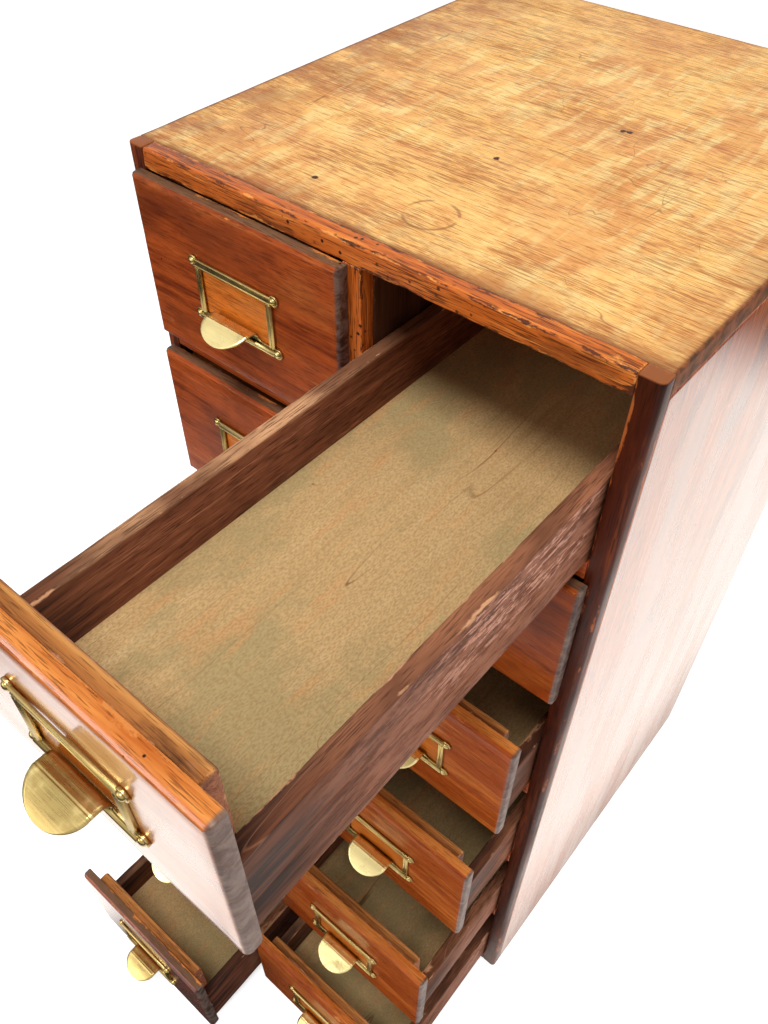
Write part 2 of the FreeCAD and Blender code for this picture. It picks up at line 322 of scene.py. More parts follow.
class Wood(Finish):
    """Old wood: figure, fibres, pores, wear along its arrises, grime and scratches."""

    def __init__(self, name, dark, middle, pale, ring=4 * MM, wander=6.0, figure=0.3, length=1.0):
        super().__init__(name)
        self.grain = self.attribute("grain")
        self.place = self.attribute("place")
        self.edge = self.attribute("edge", "Fac")
        tone = self.attribute("tone", "Fac")
        self.clouds = self.noise(self.grain, (7.0 / length, 24.0, 24.0), detail=4.0, rough=0.6)
        self.fibres = self.noise(self.grain, (26.0 / length, 520.0, 520.0), detail=4.0, rough=0.7)
        self.streaks = self.noise(self.grain, (7.0 / length, 130.0, 130.0),
                                  detail=4.0, rough=0.65, warp=0.4)
        ringed = self.rings(self.grain, ring, wander)
        depth = self.times(ringed, figure * 0.5)
        for pattern, share in ((self.streaks, 0.7), (self.fibres, 0.75), (self.clouds, 0.75)):
            depth = self.plus(depth, self.times(pattern, share))
        depth = self.plus(depth, tone)
        middle_of = 1.1 + figure * 0.25
        low = self.band(depth, middle_of - 0.4, middle_of, 0.0, 1.0)
        high = self.band(depth, middle_of, middle_of + 0.4, 0.0, 1.0)
        self.base = self.mix(high, self.mix(low, dark, middle), pale)
        self.rough = self.band(self.clouds, 0.3, 0.75)

    def paint(self, amount, shade):
        """Lays a shade over the wood where the amount says."""
        self.base = self.mix(amount, self.base, shade)

    def pores(self, shade, strength=0.7, frequency=900.0, crowd=0.0):
        """Short dark pore lines along the grain, in drifts."""
        cells = self.noise(self.grain, (frequency * 0.04, frequency, frequency), detail=2.0)
        drift = self.noise(self.grain, (14.0, 40.0, 40.0), detail=3.0)
        cells = self.plus(cells, self.times(self.math("SUBTRACT", drift, 0.5), 0.3))
        self.pore = self.band(cells, 0.55 - crowd, 0.66 - crowd)
        self.paint(self.times(self.pore, strength), shade)

    def ripples(self, shade, strength=0.5):
        """Fiddleback: soft bars of light across the grain."""
        bars = self.noise(self.grain, (110.0, 26.0, 26.0), detail=3.0, warp=0.5)
        where = self.band(self.noise(self.grain, (5.0, 9.0, 9.0)), 0.38, 0.58)
        lit = self.times(self.band(bars, 0.46, 0.64), where)
        self.paint(self.times(lit, strength), shade)

    def wear(self, shade, amount=0.6, frequency=60.0):
        """Rubbed arrises and patches where the finish has gone."""
        cloud = self.noise(self.grain, (frequency * 0.35, frequency, frequency), detail=5.0, rough=0.7)
        rubbed = self.plus(self.times(self.edge, 0.55), cloud)
        self.paint(self.band(rubbed, 1.06 - amount * 0.3, 1.14 - amount * 0.3), shade)

    def grime(self, shade, threshold=0.56, strength=0.6, frequency=14.0, length=2.0):
        """Patches of another shade, dark where hands have been and pale where the sun has."""
        cloud = self.noise(self.grain, (frequency / length, frequency, frequency),
                           detail=6.0, rough=0.65)
        self.paint(self.times(self.band(cloud, threshold, threshold + 0.12), strength), shade)

    def scratches(self, shade, frequencies=(2.0, 60.0, 60.0), width=0.006, share=0.52, strength=0.6):
        """Fine lines of another shade, here and there."""
        line = self.lines(self.grain, frequencies, width, share)
        self.paint(self.times(line, strength), shade)

    def specks(self, shade, frequency=70.0, size=0.12, share=0.55):
        """Small dark nicks, only here and there."""
        where = self.band(self.noise(self.grain, (20.0, 20.0, 20.0)), share, share + 0.1)
        self.paint(self.times(self.spots(self.grain, frequency, size), where), shade)

    def ring_stain(self, centre, radius, shade):
        """A broken ring left by a wet cup."""
        away = self.math("ABSOLUTE", self.math("SUBTRACT", self.distance(self.place, centre), radius))
        broken = self.band(self.noise(self.grain, (60.0, 60.0, 60.0)), 0.4, 0.55)
        self.paint(self.times(self.band(away, 0.3 * MM, 1.5 * MM, 0.6, 0.0), broken), shade)

    def nick(self, centre, radius, shade):
        """One dark knock in the wood, ragged at its edge."""
        ragged = self.times(self.fibres, 2 * radius)
        away = self.plus(self.distance(self.place, centre), ragged)
        self.paint(self.band(away, radius * 1.6, radius * 2.0, 1.0, 0.0), shade)

    def done(self, smooth=0.25, dull=0.5, relief=0.12 * MM, specular=0.28, coat=0.0, dry=0.0):
        """The wood's material, smooth to dull, polished by the coat and matt where it is dry."""
        sheen = self.plus(self.times(self.rough, 0.6), self.times(self.fibres, 0.4))
        roughness = self.band(sheen, 0.2, 0.8, smooth, dull)
        roughness = self.math("MAXIMUM", roughness, self.times(dry, 0.85))
        fine = self.bump(self.fibres, relief, 0.5)
        broad = self.bump(self.clouds, 1.2 * MM, 0.3, fine)
        self.put(self.shader.inputs["Coat Weight"], coat)
        self.shader.inputs["Coat Roughness"].default_value = 0.14
        return self.finish(self.base, roughness, broad, specular=specular)


def face_wood():
    """Red-brown mahogany, polished, brighter in the card window, grey at the ends. Its top is golden,
    partly worn wood and partly painted light; a front whose top lies in shade gets painted grey shade
    there instead.
    """
    wood = Wood("face_mahogany", colour(112, 42, 12), colour(172, 76, 24), colour(214, 118, 46),
                ring=7 * MM, wander=9.0)
    wood.grime(colour(96, 40, 18), 0.52, 0.55, 9.0)
    wood.grime(colour(206, 116, 50), 0.58, 0.4, 12.0)
    across = wood.split(wood.place)
    aside = wood.math("ABSOLUTE", across[0])
    beside = wood.band(aside, WINDOW_X - 1 * MM, WINDOW_X + 1 * MM, 1.0, 0.0)
    above = wood.band(wood.math("ABSOLUTE", across[2]), WINDOW_Z - 1 * MM, WINDOW_Z + 1 * MM, 1.0, 0.0)
    window = wood.times(beside, above)
    fresh = wood.mix(wood.streaks, colour(176, 78, 16), colour(255, 150, 56))
    wood.paint(wood.times(window, 0.9), fresh)
    # painted light and shade on the top of the front: golden where the tone is above nought, partly
    # worn wood and partly painted light; grey painted shade where the tone is below nought
    crest = wood.times(wood.band(across[2], FACE_CREST - 1.2 * MM, FACE_CREST - 0.3 * MM),
                       wood.band(across[1], 1.5 * MM, 3.5 * MM))
    golden = wood.mix(wood.band(wood.streaks, 0.3, 0.7), colour(184, 92, 32), colour(240, 158, 80))
    painted_shade_top = wood.mix(wood.clouds, colour(70, 46, 34), colour(140, 112, 84))
    tone = wood.attribute("tone", "Fac")
    bright = wood.band(tone, -0.03, 0.03)
    wood.paint(wood.times(crest, 0.9), wood.mix(bright, painted_shade_top, golden))
    wood.pores(colour(72, 26, 8), 0.6, 2200.0, 0.02)
    wood.wear(colour(214, 132, 66), 0.12, 110.0)
    wood.scratches(colour(206, 134, 84), (3.0, 45.0, 45.0), 0.003, 0.55, 0.3)
    wood.specks(colour(50, 20, 10), 90.0, 0.08)
    end = wood.band(aside, FACE_END - 2 * MM, FACE_END)
    end_grain = wood.mix(wood.band(wood.streaks, 0.35, 0.65), colour(44, 36, 32), colour(112, 104, 98))
    wood.paint(wood.times(end, 0.85), end_grain)
    waxed = wood.band(wood.math("ABSOLUTE", tone), 0.15, 0.2, 0.0, 0.95)
    flat = wood.math("SUBTRACT", 1.0, wood.math("MAXIMUM", end, crest))
    polish = wood.math("MAXIMUM", wood.times(flat, waxed), wood.times(end, 0.15))
    return wood.done(0.24, 0.4, specular=0.12, coat=polish, dry=wood.times(end, 0.6))


def top_wood():
    """Honey-brown and sun-faded, rippled, with dark pores and a darker rim."""
    wood = Wood("top_faded", colour(236, 160, 90), colour(255, 198, 118), colour(255, 220, 146),
                ring=9 * MM, wander=8.0, length=0.5)
    wood.grime(colour(212, 136, 76), 0.5, 0.5, 8.0, 1.0)
    wood.grime(colour(204, 128, 70), 0.5, 0.35, 34.0, 0.8)
    wood.ripples(colour(255, 226, 154), 0.65)
    across = wood.split(wood.place)
    left = wood.band(across[0], *RIM_LEFT, 1.0, 0.0)
    right = wood.band(across[0], *RIM_RIGHT, 0.0, 0.7)
    front = wood.band(across[1], *RIM_FRONT, 1.0, 0.0)
    rim = wood.math("MAXIMUM", wood.math("MAXIMUM", left, right), front)
    broken = wood.noise(wood.grain, (24.0, 50.0, 50.0), detail=6.0, rough=0.75)
    patchy = wood.times(rim, wood.band(broken, 0.34, 0.58))
    wood.paint(wood.times(patchy, 0.75), colour(160, 94, 54))
    wood.pores(colour(146, 72, 28), 0.6, 1500.0, 0.03)
    wood.pores(colour(156, 84, 38), 0.6, 2800.0, 0.03)
    wood.paint(wood.times(wood.band(wood.edge, 0.5, 1.0), 0.6), colour(110, 62, 36))
    ends = wood.band(wood.math("ABSOLUTE", across[0]), TOP_END - 2 * MM, TOP_END, 0.0, 0.9)
    end_grain = wood.mix(wood.band(wood.streaks, 0.35, 0.65), colour(58, 32, 20), colour(140, 76, 44))
    wood.paint(ends, end_grain)
    wood.scratches(colour(132, 78, 46), (6.0, 30.0, 30.0), 0.003, 0.48, 0.6)
    wood.scratches(colour(120, 70, 42), (30.0, 6.0, 6.0), 0.0014, 0.5, 0.6)
    wood.ring_stain(CUP_RING, 15 * MM, colour(130, 78, 48))
    for spot in TOP_NICKS:
        wood.nick(spot, 2.2 * MM, colour(70, 36, 20))
    return wood.done(0.4, 0.62, specular=0.15)


def lipping_wood():
    """Bright orange wood where the finish has rubbed off the front edges."""
    wood = Wood("lipping_orange", colour(136, 58, 16), colour(204, 104, 36), colour(244, 152, 70))
    wood.grime(colour(122, 54, 20), 0.54, 0.7, 40.0, 5.0)
    wood.pores(colour(76, 30, 10), 0.8, 1500.0, 0.05)
    wood.wear(colour(236, 154, 76), 0.1, 80.0)
    wood.wear(colour(88, 40, 18), 0.14, 170.0)
    wood.specks(colour(56, 26, 12), 150.0, 0.2, 0.48)
    return wood.done(0.3, 0.5, specular=0.2)


def stile_wood():
    """Dark red-brown lippings on the sides."""
    wood = Wood("stile_dark", colour(46, 16, 8), colour(84, 32, 14), colour(138, 64, 28))
    wood.pores(colour(28, 10, 6), 0.7, 1300.0)
    wood.wear(colour(176, 92, 44), 0.12, 70.0)
    wood.grime(colour(26, 12, 8), 0.5, 0.8, 20.0, 6.0)
    height = wood.split(wood.place)[2]
    wood.paint(wood.band(height, STILE_CREST - 1.5 * MM, STILE_CREST, 0.0, 0.8), colour(158, 92, 50))
    wood.specks(colour(20, 9, 6), 120.0, 0.14)
    return wood.done(0.3, 0.5, specular=0.12)


def side_wood():
    """Polished sides with upright grain, fine scratches and a few dark nicks, with painted shade
    towards the floor.
    """
    wood = Wood("side_polished", colour(130, 54, 18), colour(196, 98, 44), colour(234, 142, 76),
                ring=10 * MM, wander=10.0, length=1.5)
    wood.grime(colour(104, 48, 28), 0.55, 0.5)
    wood.pores(colour(84, 34, 18), 0.7, 1700.0, 0.03)
    wood.grime(colour(92, 38, 18), 0.55, 0.5, 60.0, 9.0)
    wood.scratches(colour(92, 46, 26), (2.5, 26.0, 26.0), 0.003, 0.5, 0.6)
    wood.scratches(colour(224, 180, 148), (20.0, 5.0, 5.0), 0.002, 0.5, 0.4)
    wood.specks(colour(36, 16, 10), 40.0, 0.07)
    height = wood.split(wood.place)[2]
    # painted shade: the side is painted darker towards the floor, for the shaded floor that it reflects
    # there
    wood.paint(wood.band(height, SIDE_FOOT, FOOT_SHADE_REACH, 0.6, 0.0), colour(112, 80, 64))
    polish = wood.band(height, SIDE_FOOT, POLISH_REACH, 0.1, 0.95)
    return wood.done(0.22, 0.36, specular=0.15, coat=polish)


def rail_wood():
    """Reddish-brown cross rails."""
    wood = Wood("rail_brown", colour(110, 40, 14), colour(176, 76, 30), colour(218, 118, 54))
    wood.pores(colour(54, 20, 8), 0.7, 1300.0)
    wood.grime(colour(74, 28, 12), 0.54, 0.6)
    return wood.done(0.3, 0.5, specular=0.2)


def inner_wood():
    """Unpolished dark wood inside the cabinet."""
    wood = Wood("inner_dark", colour(44, 24, 14), colour(80, 46, 28), colour(116, 72, 46))
    wood.pores(colour(30, 16, 10), 0.6)
    wood.grime(colour(34, 19, 13), 0.5, 0.7)
    wood.wear(colour(136, 90, 60), 0.1)
    return wood.done(0.5, 0.75)


def back_wood():
    """Plain back boards, brown with age."""
    wood = Wood("back_plain", colour(98, 60, 34), colour(150, 98, 58), colour(188, 134, 86),
                ring=8 * MM, wander=9.0, figure=0.8, length=1.8)
    wood.pores(colour(66, 40, 24), 0.5)
    wood.grime(colour(86, 56, 36), 0.52, 0.6)
    wood.wear(colour(176, 126, 84), 0.04)
    wood.scratches(colour(70, 44, 28))
    return wood.done(0.5, 0.75)


def box_wood():
    """Drawer sides: dark red-brown, flaking to pink outside, rubbed to tan on their upper edges."""
    wood = Wood("box_aged", colour(76, 38, 26), colour(134, 80, 56), colour(180, 118, 86))
    wood.grime(colour(66, 36, 27), 0.52, 0.6)
    wood.pores(colour(52, 25, 17), 0.7, 1900.0, 0.04)
    across = wood.split(wood.place)
    outside = wood.band(wood.math("ABSOLUTE", across[0]), BOX_OUTSIDE - 1 * MM, BOX_OUTSIDE)
    rubbed = wood.band(wood.noise(wood.grain, (40.0, 160.0, 160.0), detail=6.0, rough=0.75),
                       0.42, 0.6, 0.0, 0.6)
    wood.paint(wood.times(outside, rubbed), colour(186, 126, 98))
    flake = wood.noise(wood.grain, (85.0, 380.0, 380.0), detail=5.0, rough=0.7)
    patch = wood.noise(wood.grain, (8.0, 20.0, 20.0), detail=3.0)
    bare = wood.times(wood.band(flake, 0.53, 0.56), wood.band(patch, 0.42, 0.5))
    behind = wood.band(across[1], 70 * MM, 150 * MM)
    upper = wood.band(across[2], -48 * MM, -30 * MM)
    for where in (behind, upper, outside):
        bare = wood.times(bare, where)
    wood.paint(wood.times(bare, 0.85), colour(226, 166, 140))
    crest = wood.band(across[2], -2.2 * MM, -0.6 * MM)
    right = wood.band(across[0], 0.0, 1 * MM)
    rubbed_tan = wood.mix(right, colour(224, 170, 124), colour(160, 104, 74))
    aged_tan = wood.mix(right, colour(124, 82, 58), colour(92, 56, 40))
    tan = wood.mix(wood.band(wood.clouds, 0.4, 0.62), aged_tan, rubbed_tan)
    tan = wood.mix(wood.times(wood.pore, 0.7), tan, colour(70, 42, 30))
    golden = wood.mix(wood.band(wood.streaks, 0.35, 0.65), colour(112, 64, 32), colour(184, 118, 62))
    # painted highlight: the rounded inner arris of the box front is painted golden where light catches
    # it
    inner_arris_highlight = wood.band(across[1], 4.5 * MM, 7 * MM, 0.0, 0.8)
    golden = wood.mix(inner_arris_highlight, golden, colour(226, 158, 88))
    golden = wood.mix(wood.times(wood.pore, 0.6), golden, colour(84, 48, 26))
    front_board = wood.band(wood.attribute("tone", "Fac"), 0.1, 0.2)
    wood.paint(crest, wood.mix(front_board, tan, golden))
    # the sides are painted darker towards their front ends, next to the drawer front
    darker_near_front = wood.times(wood.band(across[1], 15 * MM, 75 * MM, 0.92, 0.0),
                         wood.math("SUBTRACT", 1.0, front_board))
    dark_front_colour = wood.mix(wood.band(wood.streaks, 0.4, 0.6), colour(40, 30, 27), colour(112, 66, 44))
    wood.paint(darker_near_front, dark_front_colour)
    wood.grime(colour(34, 24, 20), 0.59, 0.75, 26.0, 3.0)
    wood.wear(colour(206, 152, 112), 0.08, 70.0)
    wood.scratches(colour(176, 128, 98), (4.0, 50.0, 50.0), 0.004, 0.5, 0.4)
    return wood.done(0.55, 0.8, specular=0.08)


def floor_wood():
    """Drawer bottoms: dry olive-tan board, mottled, with long scratches."""
    wood = Wood("floor_olive", colour(184, 148, 98), colour(206, 170, 118), colour(220, 186, 134),
                wander=3.0, figure=0.1, length=0.6)
    wood.grime(colour(178, 158, 110), 0.44, 0.8, 16.0, 1.6)
    wood.grime(colour(218, 160, 104), 0.53, 0.5, 90.0, 5.0)
    mottle = wood.noise(wood.grain, (500.0, 1300.0, 1300.0), detail=4.0, rough=0.7)
    wood.paint(wood.band(mottle, 0.42, 0.62, 0.0, 0.55), colour(150, 116, 76))
    wood.scratches(colour(112, 76, 44), (3.0, 36.0, 36.0), 0.003, 0.38, 0.85)
    wood.scratches(colour(128, 84, 48), (12.0, 30.0, 30.0), 0.002, 0.56, 0.7)
    wood.specks(colour(104, 76, 48), 60.0, 0.06)
    return wood.done(0.6, 0.85, relief=0.08 * MM, specular=0.1)


def brass_metal():
    """Aged brass: olive in the hollows and on the low bars, partly tarnish and partly a painted dark
    reflection of the wood, bright where fingers and cloths reach.
    """
    metal = Finish("brass_aged")
    spot = metal.attribute("grain")
    edge = metal.attribute("edge", "Fac")
    clouds = metal.noise(spot, (70.0, 70.0, 70.0), detail=5.0, rough=0.6)
    brushed = metal.noise(spot, (60.0, 2500.0, 2500.0), detail=2.0)
    stain = metal.noise(spot, (420.0, 420.0, 420.0), detail=4.0, rough=0.7)
    bright = metal.mix(brushed, colour(230, 206, 134), colour(252, 236, 176))
    olive = metal.mix(brushed, colour(148, 124, 70), colour(204, 178, 116))
    # olive on the low bars is partly tarnish and partly a painted dark reflection of the wood; the
    # proud pull is bright
    reach = metal.plus(clouds, metal.times(edge, 0.5))
    base = metal.mix(metal.band(reach, 0.66, 1.0), olive, bright)
    base = metal.mix(metal.band(stain, 0.66, 0.74, 0.0, 0.6), base, colour(96, 70, 36))
    roughness = metal.band(metal.plus(clouds, metal.times(brushed, 0.4)), 0.4, 1.0, 0.2, 0.42)
    fine = metal.bump(brushed, 0.03 * MM, 0.4)
    broad = metal.bump(clouds, 0.3 * MM, 0.3, fine)
    return metal.finish(base, roughness, broad, metal=1.0)


# ---------------------------------------------------------------- boards

def box_corners(node):
    """A node's lowest and highest corner as vectors."""
    low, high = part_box(node)
    return Vector(low), Vector(high)


def cuts(low, high, step):
    """Where a board is cut across: close in to its ends, at the wear's reach, and at even steps."""
    length = high - low
    places = []
    for offset in (SUPPORT, WEAR_REACH):
        if length > 2.4 * offset:
            places += [low + offset, high - offset]
    count = int(length / step)
    for index in range(1, count):
        spot = low + length * index / count
        if min(abs(spot - other) for other in places + [low, high]) > CUT_GAP:
            places.append(spot)
    return places


def block(low, high):
    """A bmesh box between two corners."""
    form = bmesh.new()
    bmesh.ops.create_cube(form, size=1.0)
    bmesh.ops.scale(form, vec=high - low, verts=form.verts)
    bmesh.ops.translate(form, vec=(low + high) / 2, verts=form.verts)
    return form


def bevel(form, edges, radius, segments):
    """A radius on the chosen edges."""
    bmesh.ops.bevel(form, geom=edges, offset=radius, offset_type="OFFSET", segments=segments,
                    profile=0.5, affect="EDGES", clamp_overlap=True, material=-1)


def round_off(form, radius, segments, wanted):
    """A radius on every edge whose middle and direction pass the test."""
    chosen = [
        edge for edge in form.edges
        if wanted((edge.verts[0].co + edge.verts[1].co) / 2,
                  (edge.verts[1].co - edge.verts[0].co).normalized())
        and len(edge.link_faces) == 2 and edge.calc_face_angle(0) > SQUARE
    ]
    bevel(form, chosen, radius, segments)


def slice_up(form, low, high, step):
    """Cuts a board across in all three directions, to carry wear and unevenness."""
    for axis in range(3):
        across = Vector((0, 0, 0))
        across[axis] = 1
        for spot in cuts(low[axis], high[axis], step):
            point = Vector((0, 0, 0))
            point[axis] = spot
            bmesh.ops.bisect_plane(form, geom=form.verts[:] + form.edges[:] + form.faces[:],
                                   dist=HAIR, plane_co=point, plane_no=across)


def mark_board(form, low, high, along, seed, origin, tone, dent):
    """Stores each point's marks for the finish, knocks the arrises in and lets the faces wave.

    The marks are its place in the grain, its place from the board's origin, its nearness to an
    arris and the board's tone. Every move is inwards, so a board stays within its solid.
    """
    chance = random.Random(seed)
    offset = Vector((chance.uniform(-5, 5), chance.uniform(-0.05, 0.05), chance.uniform(0.03, 0.09)))
    size = high - low
    others = sorted((axis for axis in range(3) if axis != along), key=lambda axis: -size[axis])
    grain = form.verts.layers.float_vector.new("grain")
    place = form.verts.layers.float_vector.new("place")
    edge = form.verts.layers.float.new("edge")
    shade = form.verts.layers.float.new("tone")
    middle = (low + high) / 2
    own_tone = tone + chance.uniform(-0.04, 0.04)
    for vert in form.verts:
        local = vert.co - middle
        vert[grain] = offset + Vector((local[along], local[others[0]], local[others[1]]))
        vert[place] = vert.co - origin
        vert[shade] = own_tone
        depth = [min(vert.co[axis] - low[axis], high[axis] - vert.co[axis]) for axis in range(3)]
        order = sorted(range(3), key=lambda axis: depth[axis])
        reach = depth[order[1]]
        vert[edge] = max(0.0, 1 - reach / WEAR_REACH)
        knock = max(0.0, noise.noise(vert.co * KNOCK_TURNS + offset) - KNOCK_LEAST) * dent
        nip = knock * max(0.0, 1 - reach / DENT_REACH)
        for axis in order[:2]:
            vert.co[axis] += math.copysign(nip, middle[axis] - vert.co[axis])
        sunk = WAVE * (0.7 + 0.5 * noise.noise(vert.co * WAVE_TURNS + offset))
        vert.co[order[0]] += math.copysign(sunk, middle[order[0]] - vert.co[order[0]])


def board(low, high, along, seed, origin=None, arrises=(), arris=SMALL_ARRIS, step=12 * MM,
          tone=0.0, dent=DENT):
    """A worn board between two corners; arrises lists (radius, segments, test) for special edges."""
    if origin is None:
        origin = (low + high) / 2
    form = block(low, high)
    for radius, segments, wanted in arrises:
        round_off(form, radius, segments, wanted)
    round_off(form, arris, 2, lambda middle, direction: True)
    slice_up(form, low, high, step)
    mark_board(form, low, high, along, seed, origin, tone, dent)
    return form


def gather(forms):
    """Several bmeshes as one."""
    whole = bmesh.new()
    for form in forms:
        mesh = bpy.data.meshes.new("part")
        form.to_mesh(mesh)
        form.free()
        whole.from_mesh(mesh)
        bpy.data.meshes.remove(mesh)
    return whole


def shown(name, form, material):
    """A bmesh as an object of one material."""
    mesh = bpy.data.meshes.new(name)
    form.to_mesh(mesh)
    form.free()
    mesh.materials.append(material)
    made = bpy.data.objects.new(name, mesh)
    bpy.context.collection.objects.link(made)
    return made


def piece(name, form, material, body, slot, *nodes):
    """The finished object, standing for its nodes and riding on its body."""
    bmesh.ops.recalc_face_normals(form, faces=form.faces)
    made = shown(name, form, material)
    made.data.shade_smooth()
    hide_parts(*nodes)
    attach(made, body)


# ---------------------------------------------------------------- carcass

def carcass_board(node, name, material, slot, along, **options):
    """One node that is one board of the carcass."""
    low, high = box_corners(node)
    form = board(low, high, along, node, **options)
    piece(name, form, material, "cabinet", slot, node)


def front_edges(low, high, radius, bottom=True, sides=True):
    """The arrises round the front of a board: always the top one, the others if wanted."""
    def wanted(middle, direction):
        if abs(middle.y - low.y) > NEAR:
            return False
        if abs(direction.z) > 0.9:
            return sides
        return abs(middle.z - high.z) < NEAR or (bottom and abs(middle.z - low.z) < NEAR)
    return (radius, 4, wanted)


def stile_piece(side, material):
    """A stile, rounded on its outer front arris."""
    node = f"{side}_stile"
    low, high = box_corners(node)
    outer = low.x if side == "left" else high.x

    def wanted(middle, direction):
        return abs(middle.x - outer) < NEAR and abs(middle.y - low.y) < NEAR
    carcass_board(node, f"{side}_front_edge", material, "stile_wood", 2,
                  arrises=[(STILE_ARRIS, 5, wanted)], step=14 * MM, tone=STILE_TONE[side])


def split_boards(node, name, material, slot, along, boxes, **options):
    """One node that is many loose boards, remade board by board."""
    forms = [board(low, high, along, f"{node}{index}", **options)
             for index, (low, high) in enumerate(boxes)]
    piece(name, gather(forms), material, "cabinet", slot, node)


def islands(node):
    """The corners of each separate solid in a node's mesh."""
    form = bmesh.new()
    form.from_mesh(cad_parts[node].data)
    bmesh.ops.remove_doubles(form, verts=form.verts, dist=HAIR)
    boxes = []
    waiting = set(form.verts)
    while waiting:
        island = []
        front = [waiting.pop()]
        while front:
            vert = front.pop()
            island.append(vert.co.copy())
            for edge in vert.link_edges:
                other = edge.other_vert(vert)
                if other in waiting:
                    waiting.discard(other)
                    front.append(other)
        low = Vector(min(point[axis] for point in island) for axis in range(3))
        high = Vector(max(point[axis] for point in island) for axis in range(3))
        boxes.append((low, high))
    form.free()
    return sorted(boxes, key=lambda pair: (pair[0].x, pair[0].y, pair[0].z))


def build_carcass(woods):
    """The top, sides, back, bottom and partition, with their front edges, rails and runners."""
    carcass_board("top_panel", "cabinet_top", woods["top_wood"], "top_wood", 0, step=16 * MM,
                  origin=Vector((0, 0, 0)))
    low, high = box_corners("top_lipping")
    carcass_board("top_lipping", "top_front_edge", woods["lipping_wood"], "lipping_wood", 0,
                  arrises=[front_edges(low, high, 1.5 * MM, bottom=False, sides=False)],
                  step=5 * MM, dent=0.9 * MM)
    for side in COLUMNS:
        carcass_board(f"{side}_side_panel", f"{side}_side", woods["side_wood"], "side_wood", 2,
                      step=20 * MM)
        stile_piece(side, woods["stile_wood"])
    carcass_board("partition_lipping", "partition_front_edge", woods["lipping_wood"], "lipping_wood", 2)
    for node, name, slot, along in (
        ("bottom_panel", "cabinet_bottom", "inner_wood", 0),
        ("centre_partition", "middle_partition", "inner_wood", 2),
        ("back_panel", "cabinet_back", "back_wood", 2),
    ):
        carcass_board(node, name, woods[slot], slot, along, step=22 * MM)
    for node, name, slot, along in (
        ("drawer_rails", "cross_rails", "rail_wood", 0),
        ("drawer_runners", "runners", "inner_wood", 1),
    ):
        split_boards(node, name, woods[slot], slot, along, islands(node), step=14 * MM)


# ---------------------------------------------------------------- drawers

def face_form(node, origin):
    """A drawer front, well rounded round its front and along its heel."""
    low, high = box_corners(node)

    def heel(middle, direction):
        return abs(middle.y - high.y) < NEAR and abs(middle.z - low.z) < NEAR
    arrises = [front_edges(low, high, FACE_ARRIS), (HEEL_ARRIS, 4, heel)]
    drawer = node.removesuffix("_face")
    tone = WAXED_TONE if drawer in WAXED else FACE_TONE
    # painted shade: a front whose top lies in shade gets its tone below nought, which darkens its wood
    # and greys its top
    if drawer in SHADE_PAINTED_TOPS:
        tone = -tone
    return board(low, high, 0, node, origin=origin, arrises=arrises, arris=0.5 * MM, step=9 * MM,
                 tone=tone)


def box_forms(drawer):
    """The four boards of a drawer box: a front that stands above the sides, two sides and a back."""
    low, high = box_corners(f"{drawer}_box")
    floor_top = box_corners(f"{drawer}_floor")[1].z
    rim = low.z + BOX_SIDE_HEIGHT
    left, right = low.x + BOX_WALL, high.x - BOX_WALL
    boards = {
        "left": (low, Vector((left, high.y, rim)), 1),
        "right": (Vector((right, low.y, low.z)), Vector((high.x, high.y, rim)), 1),
        "front": (Vector((left, low.y, low.z)), Vector((right, low.y + BOX_WALL, high.z)), 0),
        "back": (Vector((left, high.y - BOX_WALL, floor_top)), Vector((right, high.y, rim)), 0),
    }

    def front_crest(middle, direction):
        return middle.y > low.y + BOX_WALL - NEAR and middle.z > high.z - NEAR
    forms = []
    for name, (corner, opposite, along) in boards.items():
        crest = Vector(((low.x + high.x) / 2, low.y, opposite.z))
        is_front = name == "front"
        forms.append(board(corner, opposite, along, f"{drawer}_{name}", origin=crest,
                           arrises=[(BOX_FRONT_ARRIS, 5, front_crest)] if is_front else (),
                           arris=BOX_ARRIS, step=10 * MM, tone=BOX_FRONT_TONE if is_front else 0.0))
    return forms


def build_drawer(drawer, woods, metal):
    """One drawer: its front, its box, its floor and its brass."""
    face_low, face_high = box_corners(f"{drawer}_face")
    centre = Vector(((face_low.x + face_high.x) / 2, face_low.y, face_high.z - PIN_TOP_DROP - PIN_Z))
    piece(f"{drawer}_front_board", face_form(f"{drawer}_face", centre), woods["face_wood"],
          drawer, "face_wood", f"{drawer}_face")
    piece(f"{drawer}_sides", gather(box_forms(drawer)), woods["box_wood"],
          drawer, "box_wood", f"{drawer}_box")
    low, high = box_corners(f"{drawer}_floor")
    floor = board(low, high, 1, f"{drawer}_floor", step=16 * MM, dent=0)
    piece(f"{drawer}_bottom_board", floor, woods["floor_wood"], drawer, "floor_wood", f"{drawer}_floor")
    brass = card_frame_form(drawer)
    bmesh.ops.translate(brass, vec=centre, verts=brass.verts)
    piece(f"{drawer}_pull", brass, metal, drawer, "brass", f"{drawer}_card_frame")


# ---------------------------------------------------------------- brass card frame

def bar(outline, start, across, along):
    """A bar from its section: (offset across, height off the wood) points, pushed along."""
    form = bmesh.new()
    corners = [form.verts.new(start + across * offset + Vector((0, -height, 0)))
               for offset, height in outline]
    end = form.faces.new(corners)
    pushed = bmesh.ops.extrude_face_region(form, geom=[end])
    bmesh.ops.translate(form, vec=along,
                        verts=[item for item in pushed["geom"] if isinstance(item, bmesh.types.BMVert)])
    return form


def soften(form, radius, angle=0.3):
    """A small radius on every edge sharper than the angle."""
    sharp = [edge for edge in form.edges if edge.calc_face_angle(0) > angle]
    bevel(form, sharp, radius, 2)
    return form


